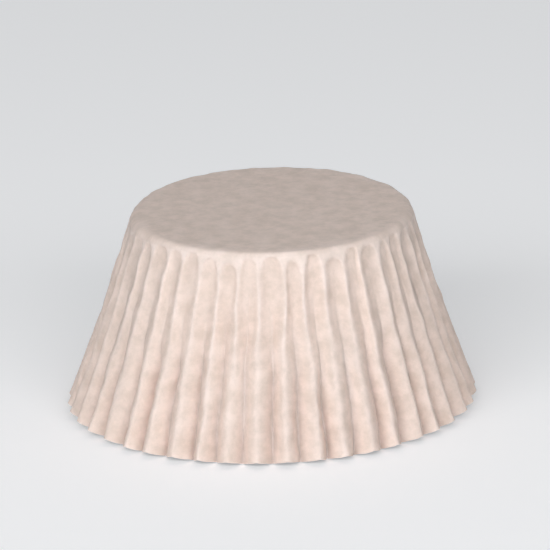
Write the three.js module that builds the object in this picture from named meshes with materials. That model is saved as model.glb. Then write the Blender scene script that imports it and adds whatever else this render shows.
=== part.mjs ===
// Fluted paper baking case for a cupcake, turned mouth down so that it stands on its rim.
//
// The real thing is one round blank of greaseproof paper, pressed in a die. The middle of the blank
// stays flat and becomes the base. The rest is folded down over a small bend, and because paper
// doesn't shrink, its spare width is gathered into flutes that deepen towards the rim.
//
// Millimetres, +Z up. The origin is the centre of the mouth, on the surface that the rim stands on.

import * as THREE from 'three';

// Driving dimensions.
const BASE_DIAMETER = 51;       // where the wall leaves the bend, a 2 inch case
const MOUTH_DIAMETER = 75;      // over the crests of the flutes at the rim
const WALL_LENGTH = 37;         // from the bend to the rim along the paper, 1 1/2 inch with the bend
const PAPER_THICKNESS = 0.06;   // 40 to 50 g/m2 greaseproof paper
const BEND_RADIUS = 0.8;        // outside radius between the base and the wall
const WALL_BOW = 0.4;           // the wall curves in by this much halfway down, so the rim flares
const FLUTE_COUNT = 44;

// Form of the flutes. A share is a part of one flute's width.
const ROUNDED_SHARE = 0.2;      // taken up by the rounded crest and valley together, not by the flanks
const CREST_SHARE_AT_BASE = 0.36; // narrow crests between wide, flat valleys at the base
const CREST_SHARE_AT_RIM = 0.5; // crests and valleys alike at the rim

// How finely the curved paper is drawn.
const CREASES = [0, 0.22, 0.78, 1]; // lines down half a flute, from its crest at 0 to its valley at 1
const WALL_ROWS = 7;
const ROW_CROWDING = 1.8;       // above 1, rows crowd towards the base, where the flutes start
const BEND_ROWS = 2;

const baseRadius = BASE_DIAMETER / 2;
const mouthRadius = MOUTH_DIAMETER / 2;

// The crests lie on a cone that the bow hollows a little. Every length here is measured along the
// paper, down from the end of the bend.
function crestRadius(length) {
  const along = length / WALL_LENGTH;
  return THREE.MathUtils.lerp(baseRadius, mouthRadius, along) - 4 * WALL_BOW * along * (1 - along);
}

// The bend turns the paper from flat until it follows the crests.
const firstSlope = (mouthRadius - baseRadius - 4 * WALL_BOW) / WALL_LENGTH;
const bendAngle = Math.acos(firstSlope);
const flatRadius = baseRadius - BEND_RADIUS * Math.sin(bendAngle);

// Depth of the flutes. A ring of the flat blank is longer than the ring of crests that it has to
// fit, and each flank of a flute takes up half of what the flute has to spare.
function fluteDepth(length) {
  const blankWidth = (2 * Math.PI * (baseRadius + length)) / FLUTE_COUNT;
  const fluteWidth = (2 * Math.PI * crestRadius(length)) / FLUTE_COUNT;
  const rounded = ROUNDED_SHARE * fluteWidth;
  return Math.sqrt(((blankWidth - rounded) / 2) ** 2 - ((fluteWidth - rounded) / 2) ** 2);
}

// Where a crease lies in its flute, as a share of the flute's width from the crest. The exponent
// puts the middle of the flank at the edge of the crest's share.
function creaseOffset(crease, length) {
  const along = length / WALL_LENGTH;
  const crestShare = THREE.MathUtils.lerp(CREST_SHARE_AT_BASE, CREST_SHARE_AT_RIM, along);
  const exponent = Math.log(0.5) / Math.log(crestShare);
  return 0.5 * crease ** (1 / exponent);
}

// The creases of one flute in order round the case: side is -1 before the crest and +1 after it.
// The valley is shared, and counts with the flute before it.
function creasesOfOneFlute() {
  const before = CREASES.slice(1, -1).map((crease) => ({ crease, side: -1 })).reverse();
  const after = CREASES.map((crease) => ({ crease, side: 1 }));
  return [...before, ...after];
}

// A point on one crease line. Crests lie half a flute to each side of the X and Y axes, so a valley
// faces along each axis.
function pointOnCrease({ flute, crease, side }, length, radius, height) {
  const turn = (flute + 0.5 + side * creaseOffset(crease, length)) / FLUTE_COUNT;
  const angle = 2 * Math.PI * turn;
  return new THREE.Vector3(radius * Math.cos(angle), radius * Math.sin(angle), height);
}

// The base's edge and the bend, as rings from the flat paper to the start of the wall.
function bendRings(columns) {
  const rings = [];
  for (let row = 0; row <= BEND_ROWS; row += 1) {
    const turned = (bendAngle * row) / BEND_ROWS;
    const radius = flatRadius + BEND_RADIUS * Math.sin(turned);
    const height = -BEND_RADIUS * (1 - Math.cos(turned));
    rings.push(columns.map((place) => pointOnCrease(place, 0, radius, height)));
  }
  return rings;
}

// The wall, as rings down to the rim. Paper doesn't stretch, so every crease line keeps its length:
// what it moves in or out, it loses in height, and the crests end a little above the valleys.
function wallRings(columns, top) {
  const heights = columns.map(() => top);
  const radii = columns.map(() => baseRadius);
  const rings = [];
  let previous = 0;
  for (let row = 1; row <= WALL_ROWS; row += 1) {
    const length = WALL_LENGTH * (row / WALL_ROWS) ** ROW_CROWDING;
    const step = length - previous;
    const depth = fluteDepth(length);
    rings.push(columns.map((place, column) => {
      const sunk = (depth * (1 - Math.cos(Math.PI * place.crease))) / 2;
      const radius = crestRadius(length) - sunk;
      heights[column] -= Math.sqrt(step ** 2 - (radius - radii[column]) ** 2);
      radii[column] = radius;
      return pointOnCrease(place, length, radius, heights[column]);
    }));
    previous = length;
  }
  return rings;
}

// The other face of the paper: each point moved in by the thickness, square to the sheet there.
function innerFace(rings) {
  const flat = new THREE.Vector3(0, 0, -PAPER_THICKNESS);
  return rings.map((ring, row) => ring.map((point, column) => {
    if (row === 0) return point.clone().add(flat);
    const above = rings[row - 1][column];
    const below = rings[Math.min(row + 1, rings.length - 1)][column];
    const before = ring[(column + ring.length - 1) % ring.length];
    const after = ring[(column + 1) % ring.length];
    const down = below.clone().sub(above);
    const round = after.clone().sub(before);
    const inward = round.cross(down).normalize();
    return point.clone().addScaledVector(inward, PAPER_THICKNESS);
  }));
}

// One closed skin round the sheet: the outer face, the inner face and the cut edge at the rim. Four
// neighbouring points are split from the crest's side above to the valley's side below, alike on
// both faces, so the faces stay parallel and each flute is its own mirror image.
function sheetGeometry(outer, inner, columns) {
  const perRing = columns.length;
  const points = [...outer.flat(), ...inner.flat()];
  const outerCentre = points.push(new THREE.Vector3(0, 0, outer[0][0].z)) - 1;
  const innerCentre = points.push(new THREE.Vector3(0, 0, inner[0][0].z)) - 1;
  const innerStart = outer.length * perRing;
  const rim = (outer.length - 1) * perRing;
  const indices = [];
  const outerFacets = ([a, b, c, d]) => indices.push(a, b, c, a, c, d);
  const innerFacets = ([a, b, c, d]) => indices.push(...[a, c, b, a, d, c].map((index) => innerStart + index));
  for (let column = 0; column < perRing; column += 1) {
    const next = (column + 1) % perRing;
    indices.push(outerCentre, column, next);
    indices.push(innerCentre, innerStart + next, innerStart + column);
    const awayFromCrest = columns[next].crease > columns[column].crease;
    for (let here = 0; here < rim; here += perRing) {
      const below = here + perRing;
      const corners = [here + column, below + column, below + next, here + next];
      if (!awayFromCrest) corners.push(corners.shift());
      outerFacets(corners);
      innerFacets(corners);
    }
    outerFacets([rim + column, innerStart + rim + column, innerStart + rim + next, rim + next]);
  }
  const geometry = new THREE.BufferGeometry();
  geometry.setAttribute('position', new THREE.Float32BufferAttribute(points.flatMap((p) => p.toArray()), 3));
  geometry.setIndex(indices);
  return geometry;
}

function makeLiner() {
  const columns = [];
  for (let flute = 0; flute < FLUTE_COUNT; flute += 1) {
    columns.push(...creasesOfOneFlute().map((place) => ({ flute, ...place })));
  }
  const bend = bendRings(columns);
  const wall = wallRings(columns, bend.at(-1)[0].z);
  const outer = [...bend, ...wall];
  const geometry = sheetGeometry(outer, innerFace(outer), columns);
  geometry.computeBoundingBox();
  geometry.translate(0, 0, -geometry.boundingBox.min.z);
  geometry.computeVertexNormals();
  const paper = new THREE.MeshStandardMaterial({ color: 0xf0e2d8, roughness: 0.7, metalness: 0 });
  const liner = new THREE.Mesh(geometry, paper);
  liner.name = 'liner';
  return liner;
}

const cupcakeLiner = new THREE.Group();
cupcakeLiner.add(makeLiner());

export default cupcakeLiner;
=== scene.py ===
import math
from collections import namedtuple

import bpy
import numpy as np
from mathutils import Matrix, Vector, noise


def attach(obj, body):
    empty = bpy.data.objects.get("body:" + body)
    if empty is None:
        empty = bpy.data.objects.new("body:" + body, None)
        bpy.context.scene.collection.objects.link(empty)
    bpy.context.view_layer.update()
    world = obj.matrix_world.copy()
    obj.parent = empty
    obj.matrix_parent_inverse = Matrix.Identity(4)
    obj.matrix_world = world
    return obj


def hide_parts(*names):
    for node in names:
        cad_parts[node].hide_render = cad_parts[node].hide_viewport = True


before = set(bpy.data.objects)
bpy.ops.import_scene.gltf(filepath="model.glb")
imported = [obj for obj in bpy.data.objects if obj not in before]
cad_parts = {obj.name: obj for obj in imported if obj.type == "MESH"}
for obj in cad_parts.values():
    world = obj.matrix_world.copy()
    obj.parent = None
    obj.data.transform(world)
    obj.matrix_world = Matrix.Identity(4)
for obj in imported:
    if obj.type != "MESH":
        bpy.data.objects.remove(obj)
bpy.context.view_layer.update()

# Fluted paper baking case, standing mouth down on its rim: one pressed sheet of greaseproof paper.
#
# The sheet is followed from the middle of its flat blank outwards: the flat base, the bend round it,
# and the wall, whose spare width is gathered into flutes. A row is a ring of the blank. A column is a
# line from its middle to its edge, and each flute has a column on its crest and one on each valley.
#
# Lengths are metres, and MM turns millimetres into metres. A turn counts flutes round the case, from
# +X. A share of the wall is measured from the bend: 0 there and 1 at the rim. X is to the right and
# Y to the back.

MM = 0.001
rng = np.random.default_rng(7)

# Driving sizes of the sheet.
BASE_RADIUS = 25.75 * MM        # where the wall leaves the bend
MOUTH_RADIUS = 37.5 * MM        # over the crests of the flutes at the rim
WALL_LENGTH = 37 * MM           # from the bend to the rim, along the paper
PAPER_THICKNESS = 0.06 * MM
BEND_RADIUS = 0.85 * MM
WALL_BOW = 0.4 * MM             # the wall curves in by this much halfway down
FLUTES = 44
ROUNDED_SHARE = 0.2             # of a flute's width, taken up by its crest and valley, not its flanks
SPARE_AT_BEND = 0.4 * MM        # the blank's radius is already this much too large at the bend

# Where the crests and valleys run, in flute widths where no unit is given.
LINE_SCATTER = 0.1              # they stand off their even places by up to this much
LINE_KINK = 0.055               # and wander down the wall in short straight stretches
KINK_SPACING = 4.2 * MM
PINCH = 0.22                    # two crests lean together over a valley and pinch it
PINCH_RARITY = 6                # the higher, the fewer valleys are pinched
PINCH_REACH = 1 / 2.2           # share of the wall
CREST_DENT = 0.12 * MM          # a crest stands in or out by this much at its kinks
DENT_SPACING = 4.5 * MM
CREST_LIFT = 0.45 * MM          # crests end higher than their length alone would put them

# Depth of the flutes, as a share of the depth that takes up all the spare width.
FULLNESS = 0.92                 # the crinkles take up the rest
SHALLOW_START = 0.74            # at the bend,
SHALLOWER_AT_SIDES = 0.3        # where it is less by this much at the left and right
FULL_DEPTH_FROM = 1 / 1.8       # share of the wall
DEPTH_SCATTER = 0.2
DEPTH_SPACING = 8 * MM
EVENER_AT_RIM = 0.6             # share of that scatter that is gone at the rim
SLACK = 0.56                    # whole patches of the wall are less deeply fluted
SLACK_SPACING = 16 * MM

# Section of a flute, as shares of the way from its crest to its valley.
FLOOR_FROM = 0.62               # near the bend, a valley's flat floor starts here
FLAT_FLOOR_REACH = 1 / 1.6      # share of the wall over which flat floors turn into sharp valleys
RIM_SHARPNESS = 1.9             # above 1, crests are broader than valleys at the rim

# Top of a valley: an arch under the bend.
VALLEY_START = (-0.4 * MM, 1.6 * MM)   # how far under the bend its highest point lies
SOONER_AT_SIDES = 0.8 * MM      # and less far at the left and right, where the bend is softer
ARCH_HEIGHT = (1.2 * MM, 2.8 * MM)
ARCH_WIDTH = 0.75               # share of the way to the crest
ARCH_EDGE = 0.5 * MM            # the wall steps in over this length

# How the whole case is out of true: a light thing of paper, pressed a little off its centre.
OVAL = 0.3 * MM                 # the rim stands out by this much along one line and in across it
OVAL_TURN = math.radians(225)   # where it stands out
BASE_SHIFT = 0.65 * MM          # the base lies off the middle of the rim, along X
BASE_TILT = 0.022               # and rises towards the back, as a slope
TILTED_FROM = 1 / 1.2           # share of the height from which the tilt is full
SOFT_SHOULDER = 1.1 * MM        # the bend is this much rounder at both sides, along X,
UNEVEN_SHOULDER = 0.4 * MM      # more so at the left
SHOULDER_POWER = 4              # the higher, the closer to both sides the bend is softer

# Crinkles of the paper: their wavelength, and their height on the base and on the wall.
Crinkle = namedtuple("Crinkle", "wavelength on_base on_wall layer")
CRINKLES = [
    Crinkle(wavelength=8 * MM, on_base=0.07 * MM, on_wall=0.1 * MM, layer=2),
    Crinkle(wavelength=3.6 * MM, on_base=0.015 * MM, on_wall=0.19 * MM, layer=1),
    Crinkle(wavelength=1.9 * MM, on_base=0, on_wall=0.09 * MM, layer=3),
]
SLACK_LAYER = 5                 # the noise of each layer is unlike the others'

# How the pressed paper is marked: 1 is as white as a crease, partly its own whiteness and partly a painted
# highlight, and -1 as dark as the painted shade of a deep valley.
PAINTED_EDGE_HIGHLIGHT_WIDTH = 0.25 * MM         # a painted highlight: the paper is whitened along its cut edge, over this width
BEND_WHITENESS = 0.7            # the bend is whitened less, as a crease, least where the bend is softer
CREASE_WIDTH = 1 / 2.8          # a crest is whitened this far towards its valley, as a crease and as a painted highlight,
WHITENESS_LOST = 0.5            # and less so by this share at the rim
PAINTED_SHADE_FROM = 0.6                 # painted shade darkens a valley from here, as a share of the way from its crest
PAINTED_SHADE_WALL = (0.2, 0.7)          # and reaches its full darkness between these shares of the wall
# The painted shade in the valleys is less by this share at the left and right.
LESS_PAINTED_SHADE_AT_SIDES = 0.8

# Resolution.
STEPS = 14                      # columns to a flute
MIDDLE_COLUMN_AT_BASE = (0.24, 0.52)   # a flank's middle column is this share of the way from its
MIDDLE_COLUMN_AT_RIM = 0.56     # crest to its valley
MIDDLE_COLUMN_REACH = 1 / 1.3   # share of the wall
COLUMN_CROWDING = (0.35, 0.6)   # of the columns at crests and valleys, at the bend and at the rim
WALL_ROWS = 54
ROW_CROWDING = 1.25             # above 1, rows crowd towards the bend
BEND_ROWS = 4
BASE_ROWS = 12
BASE_ROW_CROWDING = 0.8         # below 1, rows crowd towards the edge of the base
LEAST_DROP = 0.2                # however fast a flute deepens, a row drops by this share of its length
EVEN_FROM = 1 / 3               # share of the wall from which columns lie evenly spread on the blank

# Colours and finish of the paper, as linear red, green, blue and alpha.
CLOUD_DARK = (0.815, 0.65, 0.575, 1)
CLOUD_PALE = (0.975, 0.775, 0.70, 1)
CLOUD_STEPS = (0.38, 0.62)      # the noise values that get these two
# Painted shade for the valleys, the plain paper, and the crease white that is partly a painted highlight:
# the tone is multiplied by these.
PAINTED_VALLEY_SHADE = (0.71, 0.735, 0.75, 1)
PLAIN_SHADE = (0.88, 0.865, 0.845, 1)
CREASE_WHITE_AND_HIGHLIGHT = (1, 1, 1, 1)
FIBRE_DEPTH = 0.05 * MM
LIGHT_SPREAD = 0.3 * MM         # how far light travels inside the paper

# The plain floor.
FLOOR_GREY = (0.72, 0.73, 0.745, 1)
FLOOR_GLOW = 0.42               # light that only the camera sees
FLOOR_HALF_WIDTH = 3

# Light. Lamps are turned towards the middle of the case.
AIM_HEIGHT = 20 * MM
SKY_STRENGTH = 0.17

# Camera, with angles in degrees and the lens in millimetres.
CAMERA_ELEVATION = 17.45
CAMERA_DISTANCE = 744 * MM
CAMERA_ROLL = -1.6
CAMERA_AIM = Vector((1.1 * MM, 0, 23.85 * MM))
LENS = 267.7
SENSOR_WIDTH = 36


def smoothstep(share):
    share = np.clip(share, 0, 1)
    return share * share * (3 - 2 * share)


def mix(first, second, share):
    return first + (second - first) * share


def polar(radius, angle):
    """Flat points from their distance and direction."""
    return np.stack([radius * np.cos(angle), radius * np.sin(angle)], axis=-1)


def sheet_noise(blank, wavelength, layer):
    """Smooth noise that belongs to the paper, with one value for each point of the sheet."""
    flat = blank.reshape(-1, 2) / wavelength
    values = [noise.noise(Vector((x, y, layer))) for x, y in flat]
    return np.array(values).reshape(blank.shape[:2])


def wander(lengths, spacing, smooth=True):
    """A random value between -1 and 1 for each row of each flute. Down the wall it changes slowly,
    or in straight stretches where it isn't smooth."""
    knots = int(WALL_LENGTH / spacing) + 4
    values = rng.uniform(-1, 1, (knots, FLUTES))
    place = lengths[:, None] / spacing + rng.uniform(0, 1, FLUTES)
    below = place.astype(int)
    share = place - below
    if smooth:
        share = smoothstep(share)
    flute = np.arange(FLUTES)
    return mix(values[below, flute], values[below + 1, flute], share)


# The columns of each flute run from the valley before it, at -1, over its crest at 0, towards 1.
FOLD = np.tile(-1 + 2 * np.arange(STEPS) / STEPS, FLUTES)


def per_column(values):
    """Spreads one value for each flute over the flute's columns."""
    return np.repeat(values, STEPS, axis=-1)


def of_valley(values):
    """Spreads one value for each valley over the columns on both sides of it. A valley has the
    number of the flute before it."""
    return np.where(FOLD < 0, per_column(np.roll(values, 1, axis=-1)), per_column(values))


def crest_radius(length):
    """Radius of the crests at a length down the wall: a cone, hollowed a little by the bow."""
    along = length / WALL_LENGTH
    return mix(BASE_RADIUS, MOUTH_RADIUS, along) - 4 * WALL_BOW * along * (1 - along)


# The bend turns the paper from flat until it follows the crests.
FIRST_SLOPE = (MOUTH_RADIUS - BASE_RADIUS - 4 * WALL_BOW) / WALL_LENGTH
BEND_ANGLE = math.acos(FIRST_SLOPE)


def full_depth(length):
    """Depth of the flutes that takes up all the width that the blank has to spare."""
    blank_width = 2 * math.pi * (BASE_RADIUS + SPARE_AT_BEND + length) / FLUTES
    flute_width = 2 * math.pi * crest_radius(length) / FLUTES
    rounded = ROUNDED_SHARE * flute_width
    return np.sqrt(((blank_width - rounded) / 2) ** 2 - ((flute_width - rounded) / 2) ** 2)


def crease_lines(lengths):
    """Turn of each crest and each valley, row by row. Crest 0 comes before valley 0."""
    flute = np.arange(FLUTES)
    along = lengths[:, None] / WALL_LENGTH
    crests = flute + 0.5 + rng.uniform(-LINE_SCATTER, LINE_SCATTER, FLUTES)
    crests = crests + LINE_KINK * wander(lengths, KINK_SPACING, smooth=False)
    pinch = PINCH * rng.uniform(0, 1, FLUTES) ** PINCH_RARITY
    leaning = np.sin(math.pi * np.minimum(along / PINCH_REACH, 1))
    crests = crests + (pinch - np.roll(pinch, 1)) * leaning
    valleys = flute + 1 + rng.uniform(-LINE_SCATTER, LINE_SCATTER, FLUTES)
    valleys = valleys + LINE_KINK * wander(lengths, KINK_SPACING, smooth=False)
    return crests, valleys


def column_places(lengths):
    """The turn of each column, row by row, and how far it lies from its crest, at 0, towards the
    nearest valley, at 1."""
    crests, valleys = crease_lines(lengths)
    valleys_before = np.roll(valleys, 1, axis=1)
    valleys_before[:, 0] -= FLUTES
    nearest_valley = np.where(FOLD < 0, per_column(valleys_before), per_column(valleys))

    along = lengths[:, None] / WALL_LENGTH
    at_base = per_column(rng.uniform(*MIDDLE_COLUMN_AT_BASE, FLUTES))
    middle_column = mix(at_base, MIDDLE_COLUMN_AT_RIM, smoothstep(along / MIDDLE_COLUMN_REACH))
    fold = np.abs(FOLD)
    crowded = mix(fold, smoothstep(fold), mix(*COLUMN_CROWDING, along))
    from_crest = crowded ** (np.log(middle_column) / math.log(0.5))
    return mix(per_column(crests), nearest_valley, from_crest), from_crest


def valley_openings(rows, from_crest, to_side):
    """0 on the plain strip under the bend and up the crests, and 1 inside a valley's arch."""
    start = of_valley(rng.uniform(*VALLEY_START, FLUTES)) - SOONER_AT_SIDES * to_side
    height = of_valley(rng.uniform(*ARCH_HEIGHT, FLUTES))
    from_middle = np.minimum((1 - from_crest) / ARCH_WIDTH, 1)
    top = start + height * (1 - np.sqrt(1 - from_middle ** 2))
    return smoothstep((rows - top) / ARCH_EDGE)


def slack(rows, turn):
    """Between 0 and 1: how slack the flutes are at each place of the wall, in patches."""
    blank = polar(BASE_RADIUS + rows, 2 * math.pi * turn / FLUTES)
    return smoothstep(0.5 + sheet_noise(blank, SLACK_SPACING, SLACK_LAYER))


def sunk_depth(lengths, turn, from_crest, opened, to_side):
    """How far each point of the wall lies inside the crests."""
    rows = lengths[:, None]
    along = rows / WALL_LENGTH
    sharp_valleyed = from_crest ** RIM_SHARPNESS
    flat_floored = smoothstep(from_crest / FLOOR_FROM)
    section = mix(flat_floored, sharp_valleyed, smoothstep(along / FLAT_FLOOR_REACH)) * opened

    scatter = DEPTH_SCATTER * of_valley(wander(lengths, DEPTH_SPACING)) * (1 - EVENER_AT_RIM * along)
    slackness = SLACK * slack(rows, turn) * np.sin(math.pi * along)
    at_start = SHALLOW_START - SHALLOWER_AT_SIDES * to_side
    fullness = FULLNESS * mix(at_start, 1, smoothstep(along / FULL_DEPTH_FROM))
    return full_depth(rows) * fullness * (1 + scatter - slackness) * section


def drop_of_wall(lengths, turn, radius, from_crest):
    """How far each point lies below the bend. Paper doesn't stretch, so what a column moves in or
    out, it loses in height. All valleys end level, because the case stands on them."""
    rows = lengths[:, None]
    radius_above = np.vstack([np.full((1, radius.shape[1]), BASE_RADIUS), radius[:-1]])
    step = np.diff(rows, axis=0, prepend=0)
    squared = np.maximum(step ** 2 - (radius - radius_above) ** 2, (LEAST_DROP * step) ** 2)
    drop = np.cumsum(np.sqrt(squared), axis=0)
    valley_drop = drop[-1, ::STEPS]
    spare = np.interp(turn[-1], turn[-1, ::STEPS], valley_drop - valley_drop.mean(), period=FLUTES)
    return drop - (spare + CREST_LIFT * (1 - from_crest)) * (rows / WALL_LENGTH) ** 2


def mark_wall_creases_and_painted_light(along, from_crest, opened, to_side):
    """How the paper of the wall is marked: whitened on the crests, as creases and as a painted highlight,
    and darkened in the valleys with painted shade.
    """
    painted_shade_start, painted_shade_end = PAINTED_SHADE_WALL
    # Crest whitening: the crease's own white and a painted highlight.
    crease_white_and_highlight = (1 - opened * smoothstep(from_crest / CREASE_WIDTH)) * (1 - WHITENESS_LOST * along)
    # Painted shade that darkens the valleys.
    valley_painted_shade = smoothstep((from_crest - PAINTED_SHADE_FROM) / (1 - PAINTED_SHADE_FROM))
    valley_painted_shade = valley_painted_shade * smoothstep((along - painted_shade_start) / (painted_shade_end - painted_shade_start))
    return crease_white_and_highlight - valley_painted_shade * (1 - LESS_PAINTED_SHADE_AT_SIDES * to_side)


def wall_rows():
    """The wall, as the length of each row and arrays of rows and columns: the turn, radius and drop
    of each point, and how its paper is marked."""
    lengths = WALL_LENGTH * (np.arange(1, WALL_ROWS) / (WALL_ROWS - 1)) ** ROW_CROWDING
    lengths = np.insert(lengths, -1, WALL_LENGTH - PAINTED_EDGE_HIGHLIGHT_WIDTH)
    rows = lengths[:, None]
    along = rows / WALL_LENGTH
    valley_angle = 2 * math.pi * np.arange(FLUTES) / FLUTES
    to_side = of_valley(np.cos(valley_angle) ** 2)      # 1 at the left and right, 0 in front and behind

    turn, from_crest = column_places(lengths)
    opened = valley_openings(rows, from_crest, to_side)
    sunk = sunk_depth(lengths, turn, from_crest, opened, to_side)
    dent = CREST_DENT * per_column(wander(lengths, DENT_SPACING, smooth=False))
    dent = dent * np.sin(math.pi * along) * (1 - from_crest)
    radius = crest_radius(rows) + dent - sunk
    drop = drop_of_wall(lengths, turn, radius, from_crest)
    return lengths, turn, radius, drop, mark_wall_creases_and_painted_light(along, from_crest, opened, to_side)


def sheet_rows():
    """The outer face of the whole sheet, from near its middle to the rim: its points, their places
    on the flat blank, and how the paper is marked there."""
    lengths, wall_turn, wall_radius, wall_drop, wall_creases_and_painted_light = wall_rows()
    columns = wall_turn.shape[1]
    turned = BEND_ANGLE * np.arange(BEND_ROWS + 1)[:, None] / BEND_ROWS
    to_right = np.cos(2 * math.pi * wall_turn[0] / FLUTES)
    bend = BEND_RADIUS + to_right ** SHOULDER_POWER * (SOFT_SHOULDER - UNEVEN_SHOULDER * to_right)
    flat_radius = BASE_RADIUS - bend * math.sin(BEND_ANGLE)
    base_rows = (np.arange(1, BASE_ROWS + 1)[:, None] / (BASE_ROWS + 1)) ** BASE_ROW_CROWDING
    bend_drop = bend * (1 - np.cos(turned))

    # The wall starts lower where the bend is larger, and makes up for it on the way to the rim.
    least_drop = bend_drop[-1].min()
    lower = (bend_drop[-1] - least_drop) * (1 - lengths[:, None] / WALL_LENGTH)
    inner_rows = BASE_ROWS + BEND_ROWS + 1
    turn = np.vstack([np.repeat(wall_turn[:1], inner_rows, axis=0), wall_turn])
    radius = np.vstack([flat_radius * base_rows, flat_radius + bend * np.sin(turned), wall_radius])
    drop = np.vstack([np.zeros((BASE_ROWS, columns)), bend_drop, wall_drop + least_drop + lower])
    along = np.concatenate([np.zeros(inner_rows), lengths / WALL_LENGTH])[:, None]
    angle = 2 * math.pi * turn / FLUTES

    on_bend = np.repeat([0, BEND_WHITENESS], [BASE_ROWS, BEND_ROWS + 1])[:, None]
    creases_and_painted_light = np.vstack([on_bend * (BEND_RADIUS / bend) ** 2, wall_creases_and_painted_light])
    # The cut edge gets a painted highlight: its last row is as white as a crease.
    creases_and_painted_light[-1] = 1
    blank = blank_places(base_rows, turned, lengths, along, angle)
    return out_of_true(radius, angle, drop, along), blank, creases_and_painted_light


def blank_places(base_rows, turned, lengths, along, angle):
    """Where each point lay on the flat blank."""
    radius = np.vstack([
        BASE_RADIUS * base_rows,
        BASE_RADIUS + BEND_RADIUS * turned,
        BASE_RADIUS + BEND_RADIUS * BEND_ANGLE + lengths[:, None],
    ])
    columns = angle.shape[1]
    even_angle = 2 * math.pi * np.arange(columns) / columns
    return polar(radius, mix(angle, even_angle, smoothstep(along / EVEN_FROM)))


def out_of_true(radius, angle, drop, along):
    """The points of the case, with its rim oval and its base shifted and tilted."""
    radius = radius + OVAL * along * np.cos(2 * (angle - OVAL_TURN))
    x = radius * np.cos(angle) + BASE_SHIFT * (1 - along)
    y = radius * np.sin(angle)
    height = drop.max() - drop
    raised = np.minimum(1, height / height.max() / TILTED_FROM)
    z = height + BASE_TILT * y * (1 - along) * raised
    return np.stack([x, y, z], axis=-1)


def inward(points):
    """Unit vectors square to the sheet, towards its inner face."""
    down = np.empty_like(points)
    down[1:-1] = points[2:] - points[:-2]
    down[0] = points[1] - points[0]
    down[-1] = points[-1] - points[-2]
    round_case = np.roll(points, -1, axis=1) - np.roll(points, 1, axis=1)
    normal = np.cross(round_case, down)
    return normal / np.linalg.norm(normal, axis=-1, keepdims=True)


def crinkle(points, blank):
    """Lets the paper rise and fall a little off its smooth form."""
    on_base = (np.arange(points.shape[0]) <= BASE_ROWS)[:, None]
    amount = 0
    for wave in CRINKLES:
        height = np.where(on_base, wave.on_base, wave.on_wall)
        amount = amount + height * sheet_noise(blank, wave.wavelength, wave.layer)
    return points - inward(points) * amount[..., None]


def both_faces(points):
    """The outer and the inner face of the sheet, put down so that the lowest point is at height 0."""
    inner = points + inward(points) * PAPER_THICKNESS
    lowest = min(points[..., 2].min(), inner[..., 2].min())
    return points - [0, 0, lowest], inner - [0, 0, lowest]


def skin_faces(rows, columns):
    """Faces of one closed skin: outer face, inner face, the cut edge at the rim, and the fans that
    close the middle, whose two points come after all the others."""
    count = rows * columns
    column = np.arange(columns)
    following = (column + 1) % columns
    outer = []
    for here in range(0, count - columns, columns):
        below = here + columns
        outer.append(np.stack([here + column, below + column, below + following, here + following], axis=1))
    outer = np.vstack(outer)
    inner = outer[:, ::-1] + count
    last = count - columns + column
    last_following = count - columns + following
    rim = np.stack([last, last + count, last_following + count, last_following], axis=1)
    outer_fan = [[2 * count, int(a), int(b)] for a, b in zip(column, following)]
    inner_fan = [[2 * count + 1, int(b) + count, int(a) + count] for a, b in zip(column, following)]
    return np.vstack([outer, inner, rim]).tolist() + outer_fan + inner_fan


def add_attribute(mesh, name, kind, key, values):
    """A value for each point of the mesh, which the material reads by its name."""
    attribute = mesh.attributes.new(name, kind, "POINT")
    attribute.data.foreach_set(key, np.asarray(values, dtype=np.float32).ravel())


def mark_cut_edge(mesh, rows, columns):
    """The two edges of the paper's thickness at the rim stay sharp."""
    ends = np.empty(len(mesh.edges) * 2, dtype=np.int64)
    mesh.edges.foreach_get("vertices", ends)
    ends = ends.reshape(-1, 2)
    sharp = np.zeros(len(ends), dtype=bool)
    for face_end in (rows * columns, 2 * rows * columns):
        on_rim = (ends >= face_end - columns) & (ends < face_end)
        sharp |= on_rim.all(axis=1)
    mark = mesh.attributes.new("sharp_edge", "BOOLEAN", "EDGE")
    mark.data.foreach_set("value", sharp)


def build_liner():
    points, blank, creases_and_painted_light = sheet_rows()
    outer, inner = both_faces(crinkle(points, blank))
    rows, columns = outer.shape[:2]
    middle = outer[0].mean(axis=0)
    middles = [middle, middle - [0, 0, PAPER_THICKNESS]]
    vertices = np.vstack([outer.reshape(-1, 3), inner.reshape(-1, 3), middles])

    mesh = bpy.data.meshes.new("fluted_paper")
    mesh.from_pydata(vertices.tolist(), [], skin_faces(rows, columns))
    mesh.shade_smooth()
    mark_cut_edge(mesh, rows, columns)
    sheet = np.dstack([blank, np.zeros((rows, columns))]).reshape(-1, 3) / MM
    add_attribute(mesh, "sheet", "FLOAT_VECTOR", "vector", np.vstack([sheet, sheet, np.zeros((2, 3))]))
    # The marks carry crease white, painted highlight and painted shade.
    marks = np.concatenate([creases_and_painted_light.ravel(), creases_and_painted_light.ravel(), [0, 0]])
    add_attribute(mesh, "creases_and_painted_light", "FLOAT", "value", 0.5 + 0.5 * marks)
    liner = bpy.data.objects.new("fluted_paper", mesh)
    bpy.context.scene.collection.objects.link(liner)
    return liner


def new_material(name):
    material = bpy.data.materials.new(name)
    material.use_nodes = True
    nodes = material.node_tree.nodes
    return material, nodes, material.node_tree.links, nodes["Principled BSDF"]


def noise_texture(nodes, scale, detail, roughness):
    texture = nodes.new("ShaderNodeTexNoise")
    texture.inputs["Scale"].default_value = scale
    texture.inputs["Detail"].default_value = detail
    texture.inputs["Roughness"].default_value = roughness
    return texture


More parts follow.
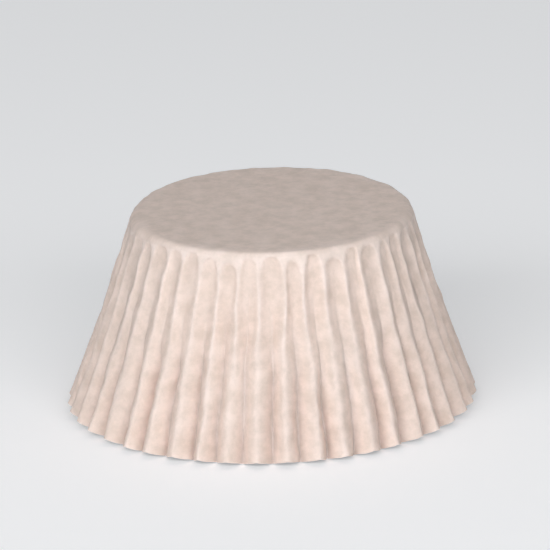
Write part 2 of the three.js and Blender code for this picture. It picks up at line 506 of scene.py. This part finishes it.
def colour_ramp(nodes, stops):
    """A colour for each value: the stops are pairs of a value and its colour, in rising order."""
    ramp = nodes.new("ShaderNodeValToRGB")
    elements = ramp.color_ramp.elements
    elements[0].position, elements[0].color = stops[0]
    elements[1].position, elements[1].color = stops[-1]
    for position, colour in stops[1:-1]:
        elements.new(position).color = colour
    return ramp


def named_attribute(nodes, name):
    attribute = nodes.new("ShaderNodeAttribute")
    attribute.attribute_name = name
    return attribute


def paper_material():
    """Greaseproof paper: cream and cloudy, whiter along its creases, partly with a painted highlight, with
    a painted highlight along its edge, and painted shade in its valleys.
    """
    material, nodes, links, shader = new_material("greaseproof_paper")
    sheet = named_attribute(nodes, "sheet")
    creases_and_painted_light = named_attribute(nodes, "creases_and_painted_light")

    clouds = noise_texture(nodes, scale=0.3, detail=6, roughness=0.66)
    tone = colour_ramp(nodes, list(zip(CLOUD_STEPS, (CLOUD_DARK, CLOUD_PALE))))
    # Painted shade in the valleys, plain paper, and crease white that is partly a painted highlight.
    creases_and_painted_light_ramp = colour_ramp(nodes, [(0, PAINTED_VALLEY_SHADE), (0.5, PLAIN_SHADE), (1, CREASE_WHITE_AND_HIGHLIGHT)])
    both = nodes.new("ShaderNodeMix")
    both.data_type = "RGBA"
    both.blend_type = "MULTIPLY"
    both.inputs["Factor"].default_value = 1
    links.new(sheet.outputs["Vector"], clouds.inputs["Vector"])
    links.new(clouds.outputs["Fac"], tone.inputs["Fac"])
    links.new(creases_and_painted_light.outputs["Fac"], creases_and_painted_light_ramp.inputs["Fac"])
    links.new(tone.outputs["Color"], both.inputs["A"])
    links.new(creases_and_painted_light_ramp.outputs["Color"], both.inputs["B"])
    links.new(both.outputs["Result"], shader.inputs["Base Color"])

    fibres = noise_texture(nodes, scale=2.4, detail=4, roughness=0.65)
    bump = nodes.new("ShaderNodeBump")
    bump.inputs["Strength"].default_value = 0.35
    bump.inputs["Distance"].default_value = FIBRE_DEPTH
    links.new(sheet.outputs["Vector"], fibres.inputs["Vector"])
    links.new(fibres.outputs["Fac"], bump.inputs["Height"])
    links.new(bump.outputs["Normal"], shader.inputs["Normal"])

    shader.inputs["Roughness"].default_value = 0.62
    shader.inputs["Specular IOR Level"].default_value = 0.2
    shader.inputs["Subsurface Weight"].default_value = 0.6
    shader.inputs["Subsurface Radius"].default_value = (1.0, 1.0, 1.0)
    shader.inputs["Subsurface Scale"].default_value = LIGHT_SPREAD
    shader.inputs["Sheen Weight"].default_value = 0.05
    shader.inputs["Sheen Roughness"].default_value = 0.5
    return material


def floor_material():
    """Plain pale grey. What the camera sees directly is a little paler than what lights the object."""
    material, nodes, links, shader = new_material("plain_floor")
    shader.inputs["Base Color"].default_value = FLOOR_GREY
    shader.inputs["Roughness"].default_value = 0.9
    shader.inputs["Specular IOR Level"].default_value = 0.1
    glow = nodes.new("ShaderNodeEmission")
    glow.inputs["Color"].default_value = FLOOR_GREY
    path = nodes.new("ShaderNodeLightPath")
    level = nodes.new("ShaderNodeMath")
    level.operation = "MULTIPLY"
    level.inputs[1].default_value = FLOOR_GLOW
    both = nodes.new("ShaderNodeAddShader")
    links.new(path.outputs["Is Camera Ray"], level.inputs[0])
    links.new(level.outputs["Value"], glow.inputs["Strength"])
    links.new(shader.outputs["BSDF"], both.inputs[0])
    links.new(glow.outputs["Emission"], both.inputs[1])
    links.new(both.outputs["Shader"], nodes["Material Output"].inputs["Surface"])
    return material


def make_floor():
    half = FLOOR_HALF_WIDTH
    mesh = bpy.data.meshes.new("floor")
    corners = [(-half, -half, 0), (half, -half, 0), (half, half, 0), (-half, half, 0)]
    mesh.from_pydata(corners, [], [(0, 1, 2, 3)])
    mesh.materials.append(floor_material())
    floor = bpy.data.objects.new("floor", mesh)
    bpy.context.scene.collection.objects.link(floor)


def direction(azimuth, elevation):
    """From the object towards a place given in degrees: azimuth 0 is the front, -Y, and 90 is +X."""
    a, e = math.radians(azimuth), math.radians(elevation)
    return Vector((math.sin(a) * math.cos(e), -math.cos(a) * math.cos(e), math.sin(e)))


def soft_box(name, azimuth, elevation, distance, size, power):
    """A wide lamp. Its size is in metres and its power in watts."""
    lamp = bpy.data.lights.new(name, "AREA")
    lamp.shape = "RECTANGLE"
    lamp.size, lamp.size_y = size
    lamp.energy = power
    holder = bpy.data.objects.new(name, lamp)
    towards = direction(azimuth, elevation)
    holder.location = towards * distance + Vector((0, 0, AIM_HEIGHT))
    holder.rotation_euler = towards.to_track_quat("Z", "Y").to_euler()
    bpy.context.scene.collection.objects.link(holder)


def make_light():
    world = bpy.data.worlds.new("studio")
    world.use_nodes = True
    sky = world.node_tree.nodes["Background"]
    sky.inputs["Color"].default_value = (1, 1, 1, 1)
    sky.inputs["Strength"].default_value = SKY_STRENGTH
    bpy.context.scene.world = world
    soft_box("front_light", azimuth=-6, elevation=27, distance=1.3, size=(2.4, 0.45), power=25.2)
    soft_box("back_light", azimuth=175, elevation=10, distance=1.3, size=(1.4, 0.4), power=2.5)


def make_camera():
    """The photograph's place: a long lens, a little above the object, held slightly out of level."""
    camera = bpy.data.cameras.new("camera")
    camera.sensor_width = SENSOR_WIDTH
    camera.lens = LENS
    holder = bpy.data.objects.new("camera", camera)
    towards = direction(0, CAMERA_ELEVATION)
    level = towards.to_track_quat("Z", "Y").to_matrix()
    turned = level @ Matrix.Rotation(math.radians(CAMERA_ROLL), 3, "Z")
    holder.location = CAMERA_AIM + towards * CAMERA_DISTANCE
    holder.rotation_euler = turned.to_euler()
    bpy.context.scene.collection.objects.link(holder)
    bpy.context.scene.camera = holder


make_camera()
make_light()
make_floor()
paper = build_liner()
paper.data.materials.append(paper_material())
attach(paper, "root")
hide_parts("liner")
bpy.context.scene.view_settings.view_transform = "Standard"
